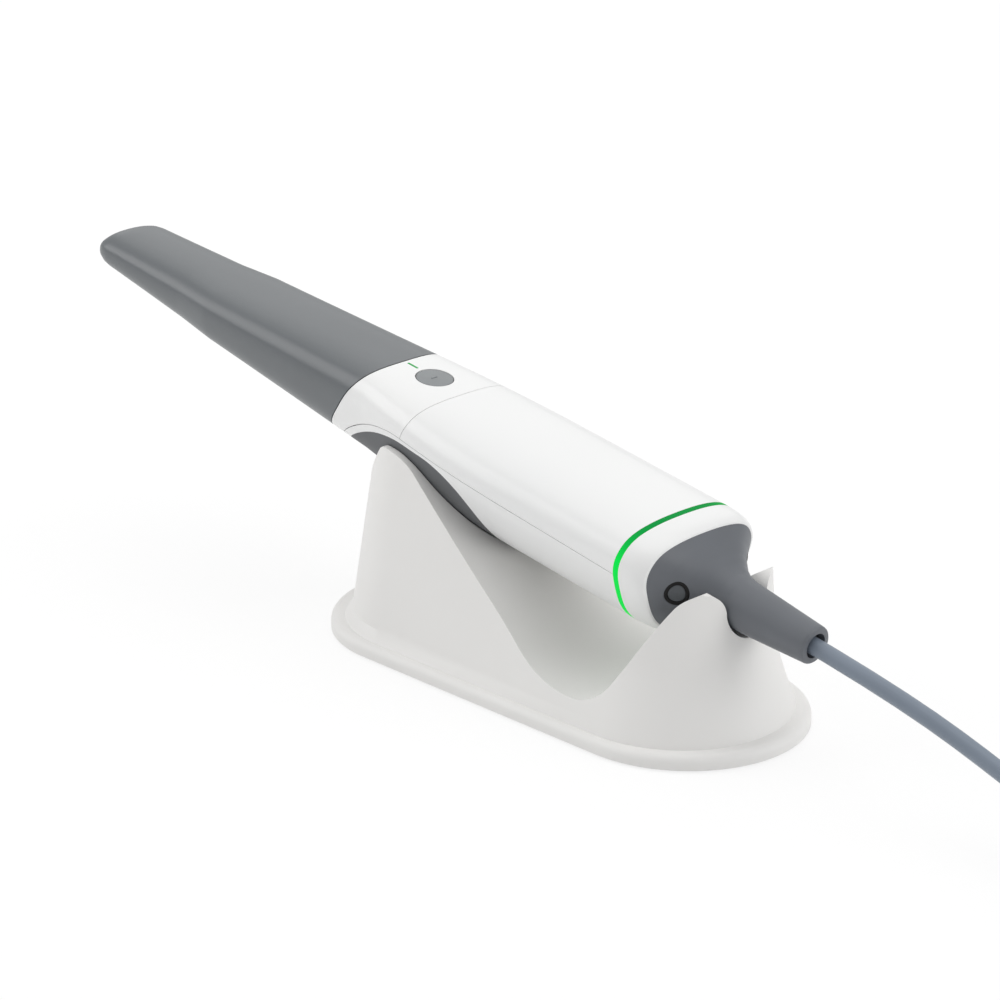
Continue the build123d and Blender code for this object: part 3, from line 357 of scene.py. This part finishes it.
# solder-masked laminate: green lacquer over a grid of slightly lighter copper runs
boardLook = {"mask": "#0E4A2A", "run": "#17613A", "gap": "#0B3A21", "gapShare": 0.02, "pitchMm": 1.6,
             "rowShare": 0.25, "roughness": 0.35}  # rowShare is a row's height in the brick node's own units
board, tree, place = startMaterial("solderMaskedLaminate")
runs = addNode(tree, "ShaderNodeTexBrick", {
    "Vector": place, "Scale": boardLook["rowShare"] / (boardLook["pitchMm"] * mm),
    "Row Height": boardLook["rowShare"], "Color1": toLinear(boardLook["mask"]),
    "Color2": toLinear(boardLook["run"]), "Mortar": toLinear(boardLook["gap"]),
    "Mortar Size": boardLook["gapShare"]})
closeMaterial(tree, addNode(tree, "ShaderNodeBsdfPrincipled", {"Base Color": runs.outputs["Color"],
                                                               "Roughness": boardLook["roughness"]}))
materials["circuit_board"] = board

# woven nylon strap: black, fuzzy rows, real ones about 1 mm apart and drawn coarser so that they show
strapLook = {"dark": "#121213", "light": "#29292B", "rowMm": 5.655, "wobble": 1.5, "detail": 2.0, "bump": 0.4,
             "depthMm": 0.2, "roughness": 0.85, "sheen": 0.3}
waveRadians = 20.0  # how far the wave node runs in one unit of its scale
strap, tree, place = startMaterial("wovenNylonStrap")
rows = addNode(tree, "ShaderNodeTexWave", {
    "Vector": place, "Scale": 2 * math.pi / (strapLook["rowMm"] * mm * waveRadians),
    "Distortion": strapLook["wobble"], "Detail": strapLook["detail"]}, bands_direction="Z")
weave = addNode(tree, "ShaderNodeMix", {0: rows.outputs["Fac"], mixDark: toLinear(strapLook["dark"]),
                                        mixLight: toLinear(strapLook["light"])}, data_type="RGBA")
lint = addNode(tree, "ShaderNodeBump", {"Height": rows.outputs["Fac"], "Strength": strapLook["bump"],
                                        "Distance": strapLook["depthMm"] * mm})
closeMaterial(tree, addNode(tree, "ShaderNodeBsdfPrincipled", {
    "Base Color": weave.outputs[mixColour], "Roughness": strapLook["roughness"],
    "Sheen Weight": strapLook["sheen"], "Normal": lint.outputs[0]}))
materials["tie_strap"] = strap
print("materials made:", len(materials))

# smooth shading across the moulded faces, crisp at their real edges
smoothing = {"weldMm": 0.002, "edgeDegrees": 24.0}
shading = bpy.data.node_groups.new("mouldedShading", "GeometryNodeTree")
shading.interface.new_socket("Geometry", in_out="INPUT", socket_type="NodeSocketGeometry")
shading.interface.new_socket("Geometry", in_out="OUTPUT", socket_type="NodeSocketGeometry")
groupIn = addNode(shading, "NodeGroupInput")
plain = addNode(shading, "GeometryNodeRemoveAttribute", {"Geometry": groupIn.outputs[0],
                                                         "Name": "custom_normal"})
welded = addNode(shading, "GeometryNodeMergeByDistance", {"Geometry": plain.outputs[0],
                                                          "Distance": smoothing["weldMm"] * mm})
corner = addNode(shading, "GeometryNodeInputMeshEdgeAngle")
gentle = addNode(shading, "FunctionNodeCompare", {0: corner.outputs["Unsigned Angle"],
                                                  1: math.radians(smoothing["edgeDegrees"])},
                 data_type="FLOAT", operation="LESS_EQUAL")
allSmooth = addNode(shading, "GeometryNodeSetShadeSmooth", {
    "Geometry": welded.outputs[0], "Shade Smooth": True}, domain="FACE")
edgeSmooth = addNode(shading, "GeometryNodeSetShadeSmooth", {
    "Geometry": allSmooth.outputs[0], "Shade Smooth": gentle.outputs["Result"]}, domain="EDGE")
addNode(shading, "NodeGroupOutput", {0: edgeSmooth.outputs[0]})

# every CAD node takes the material of its slot
for entry in frame["record"]["subparts"]:
    piece = nodes[entry["node"]]
    piece.data.materials.clear()
    piece.data.materials.append(materials[entry["material_slot"]])
    smoother = piece.modifiers.new("mouldedShading", "NODES")
    smoother.node_group = shading
cable.data.materials.append(materials["cable_jacket"])
print("materials and shading on", len(nodes), "nodes")


def surfaceTree(node):
    mesh = node.data
    return BVHTree.FromPolygons([v.co for v in mesh.vertices], [list(p.vertices) for p in mesh.polygons])


def finishPiece(bm, name, body, slotName, *nodeNames):
    mesh = bpy.data.meshes.new(name)
    bmesh.ops.recalc_face_normals(bm, faces=bm.faces)
    bm.to_mesh(mesh)
    bm.free()
    mesh.shade_smooth()
    piece = bpy.data.objects.new(name, mesh)
    scene.collection.objects.link(piece)
    piece.data.materials.append(materials[slotName])
    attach(piece, body)
    if nodeNames:
        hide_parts(*nodeNames)


def joinLoops(bm, loops, closed):
    count = len(loops[0])
    pairs = list(zip(loops, loops[1:])) + ([(loops[-1], loops[0])] if closed else [])
    for low, high in pairs:
        for i in range(count):
            bm.faces.new((low[i], low[(i + 1) % count], high[(i + 1) % count], high[i]))


# screw plugs: a black seal ring and a grey disc that lie flush in the cap's hollow flanks
plug = {
    "station": 16.2,
    "side": 14.2,
    "depth": 14.0,
    "lean": (0.707, 0.644, -0.291),  # rearward, sideways, upward
    "outer": 3.36,
    "inner": 2.38,
    "rim": 0.35,  # the cap's skin is measured this far outside the ring
    "search": 8.0,
    "steps": 48,
    # inset from the ring's outer or inner edge, then height over the cap's skin
    "ringProfile": [
        ("outer", 0.0, -1.2), ("outer", 0.0, -0.02), ("outer", 0.12, 0.10), ("outer", 0.35, 0.14),
        ("inner", -0.30, 0.14), ("inner", -0.10, 0.10), ("inner", 0.0, -0.02), ("inner", 0.0, -1.2)],
    "discProfile": [
        ("inner", 0.03, -1.0), ("inner", 0.03, -0.14), ("inner", 0.15, -0.06), ("inner", 0.40, -0.04),
        ("inner", 1.30, -0.04), ("inner", 2.0, -0.04)],
}
skinReach = plug["outer"] + plug["rim"]


def skinLoop(bm, seat, edge, inset, height):
    radius = plug[edge] - inset
    loop = []
    for spoke, skinHeight in zip(seat["spokes"], seat["skin"]):
        film = seat["middle"] + (skinHeight - seat["middle"]) * radius / skinReach
        loop.append(bm.verts.new((seat["centre"] + spoke * radius + seat["axis"] * (film + height)) * mm))
    return loop


capTree = surfaceTree(nodes["tail_cap"])
turns = [2 * math.pi * step / plug["steps"] for step in range(plug["steps"])]
rearward, outward, rise = plug["lean"]
ringMesh = bmesh.new()
discMesh = bmesh.new()
for hand in (-1, 1):
    plugAxis = (alongAxis * rearward + sideways * hand * outward + upward * rise).normalized()
    centre = Vector(onAxis(plug["station"], plug["depth"])) + sideways * hand * plug["side"]
    across = plugAxis.cross(upward).normalized()
    over = across.cross(plugAxis)
    spokes = [across * math.cos(turn) + over * math.sin(turn) for turn in turns]
    skin = []
    for spoke in spokes:
        start = centre + spoke * skinReach + plugAxis * plug["search"]
        hit = capTree.ray_cast(start * mm, -plugAxis)[0]
        skin.append((hit / mm - centre).dot(plugAxis))
    middle = sum(skin) / len(skin)
    seat = {"centre": centre, "axis": plugAxis, "spokes": spokes, "skin": skin, "middle": middle}
    joinLoops(ringMesh, [skinLoop(ringMesh, seat, *row) for row in plug["ringProfile"]], True)
    discLoops = [skinLoop(discMesh, seat, *row) for row in plug["discProfile"]]
    joinLoops(discMesh, discLoops, False)
    discMesh.faces.new(discLoops[0])
    discMesh.faces.new(discLoops[-1])
    print("plug skin mm, lowest and highest:", round(min(skin), 2), round(max(skin), 2))
finishPiece(ringMesh, "plugSealRings", "root", "plug_rubber", "plug_rings")
finishPiece(discMesh, "plugDiscs", "root", "plug_plastic", "plug_discs")

# tactile bar on the button, lying across the handpiece: a ball whose two halves are drawn apart
bar = {"length": 2.2, "width": 0.56, "height": 0.2, "parting": 8.0, "search": 10.0, "subdivisions": 4}
buttonTree = surfaceTree(nodes["scan_button"])
low, high = (Vector(corner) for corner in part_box("scan_button"))
buttonTop = buttonTree.ray_cast((low + high) / 2 + upward * bar["search"] * mm, -upward)[0]
halfStretch = (bar["length"] - bar["width"]) / 2
barMesh = bmesh.new()
bmesh.ops.create_icosphere(barMesh, subdivisions=bar["subdivisions"], radius=1.0)
for vert in barMesh.verts:
    x, y, z = vert.co
    y = y * bar["width"] / 2 + math.copysign(halfStretch, y) * min(1.0, abs(y) * bar["parting"])
    vert.co = buttonTop + (alongAxis * x * bar["width"] / 2 + sideways * y + upward * z * bar["height"]) * mm
finishPiece(barMesh, "buttonTactileBar", "button", "button_plastic")
print("plugs and button bar made")

# table: matt white paper that still takes the object's shadow
table = {
    "size": 12.0,
    "white": "#FFFFFF",
    "whiteStrength": 1.035,  # makes up for the paper's own share, which is a little under white
    "shadowShare": 0.22,
    "fadeFrom": 0.4,
    "fadeTo": 1.6,
    "paperDark": "#F0F0F0",
    "paperLight": "#F4F4F4",
    "fibreMm": 2.0,
}
bpy.ops.mesh.primitive_plane_add(size=table["size"], location=(0, 0, 0))
floor = bpy.context.object
floor.name = "studioTable"
sweep, tree, place = startMaterial("mattWhitePaper")
path = addNode(tree, "ShaderNodeLightPath")
seen = addNode(tree, "ShaderNodeMath", {0: path.outputs["Is Camera Ray"], 1: path.outputs["Is Glossy Ray"]},
               operation="MAXIMUM")
seenAll = addNode(tree, "ShaderNodeMath", {0: seen.outputs[0], 1: path.outputs["Is Transmission Ray"]},
                  operation="MAXIMUM")
fibre = addNode(tree, "ShaderNodeTexNoise", {"Vector": place, "Scale": 1 / (table["fibreMm"] * mm)})
paper = addNode(tree, "ShaderNodeMix", {0: fibre.outputs["Fac"], mixDark: toLinear(table["paperDark"]),
                                        mixLight: toLinear(table["paperLight"])}, data_type="RGBA")
matt = addNode(tree, "ShaderNodeBsdfDiffuse", {"Color": paper.outputs[mixColour]})
bright = addNode(tree, "ShaderNodeEmission", {"Color": toLinear(table["white"]),
                                              "Strength": table["whiteStrength"]})
reach = addNode(tree, "ShaderNodeVectorMath", {0: place}, operation="LENGTH")
whiteShare = addNode(tree, "ShaderNodeMapRange", {
    "Value": reach.outputs["Value"], "From Min": table["fadeFrom"], "From Max": table["fadeTo"],
    "To Min": 1 - table["shadowShare"], "To Max": 1.0})  # the shadow keeps near the object
share = addNode(tree, "ShaderNodeMath", {0: seenAll.outputs[0], 1: whiteShare.outputs[0]},
                operation="MULTIPLY")
topSide = addNode(tree, "ShaderNodeMixShader", {
    0: share.outputs[0], 1: matt.outputs[0], 2: bright.outputs[0]})
facing = addNode(tree, "ShaderNodeNewGeometry")
clear = addNode(tree, "ShaderNodeBsdfTransparent")
closeMaterial(tree, addNode(tree, "ShaderNodeMixShader", {
    0: facing.outputs["Backfacing"], 1: topSide.outputs[0], 2: clear.outputs[0]}))  # seen through from below
floor.data.materials.append(sweep)

# soft studio light: wide banks overhead and behind, a key from the left, a fill from the right
lamps = [
    {"name": "overheadBank", "place": (-0.10, 0.10, 1.25), "size": (1.5, 1.1), "power": 4.8},
    {"name": "farBank", "place": (-0.75, 0.85, 0.80), "size": (1.2, 1.0), "power": 2.6},
    {"name": "leftKey", "place": (-1.05, -0.75, 0.85), "size": (0.9, 0.9), "power": 6.8},
    {"name": "rightFill", "place": (1.05, 0.50, 0.55), "size": (0.8, 0.8), "power": 5.0},
]
aim = Vector((-0.03, 0, 0.045))
for lamp in lamps:
    light = bpy.data.lights.new(lamp["name"], "AREA")
    light.shape = "RECTANGLE"
    light.size, light.size_y = lamp["size"]
    light.energy = lamp["power"]
    holder = bpy.data.objects.new(lamp["name"], light)
    holder.location = lamp["place"]
    holder.rotation_euler = (Vector(lamp["place"]) - aim).to_track_quat("Z", "Y").to_euler()
    scene.collection.objects.link(holder)

# white room: full white where the camera sees it, dimmer as light on the object
room = {"colour": "#FFFFFF", "onObject": 0.51, "seen": 1.0}
world = bpy.data.worlds.new("studioRoom")
world.use_nodes = True
tree = world.node_tree
tree.nodes.clear()
path = addNode(tree, "ShaderNodeLightPath")
strength = addNode(tree, "ShaderNodeMapRange", {"Value": path.outputs["Is Camera Ray"],
                                                "To Min": room["onObject"], "To Max": room["seen"]})
backdrop = addNode(tree, "ShaderNodeBackground", {"Color": toLinear(room["colour"]),
                                                  "Strength": strength.outputs[0]})
addNode(tree, "ShaderNodeOutputWorld", {"Surface": backdrop.outputs[0]})
scene.world = world
scene.view_settings.view_transform = "Standard"
print("light and table set")
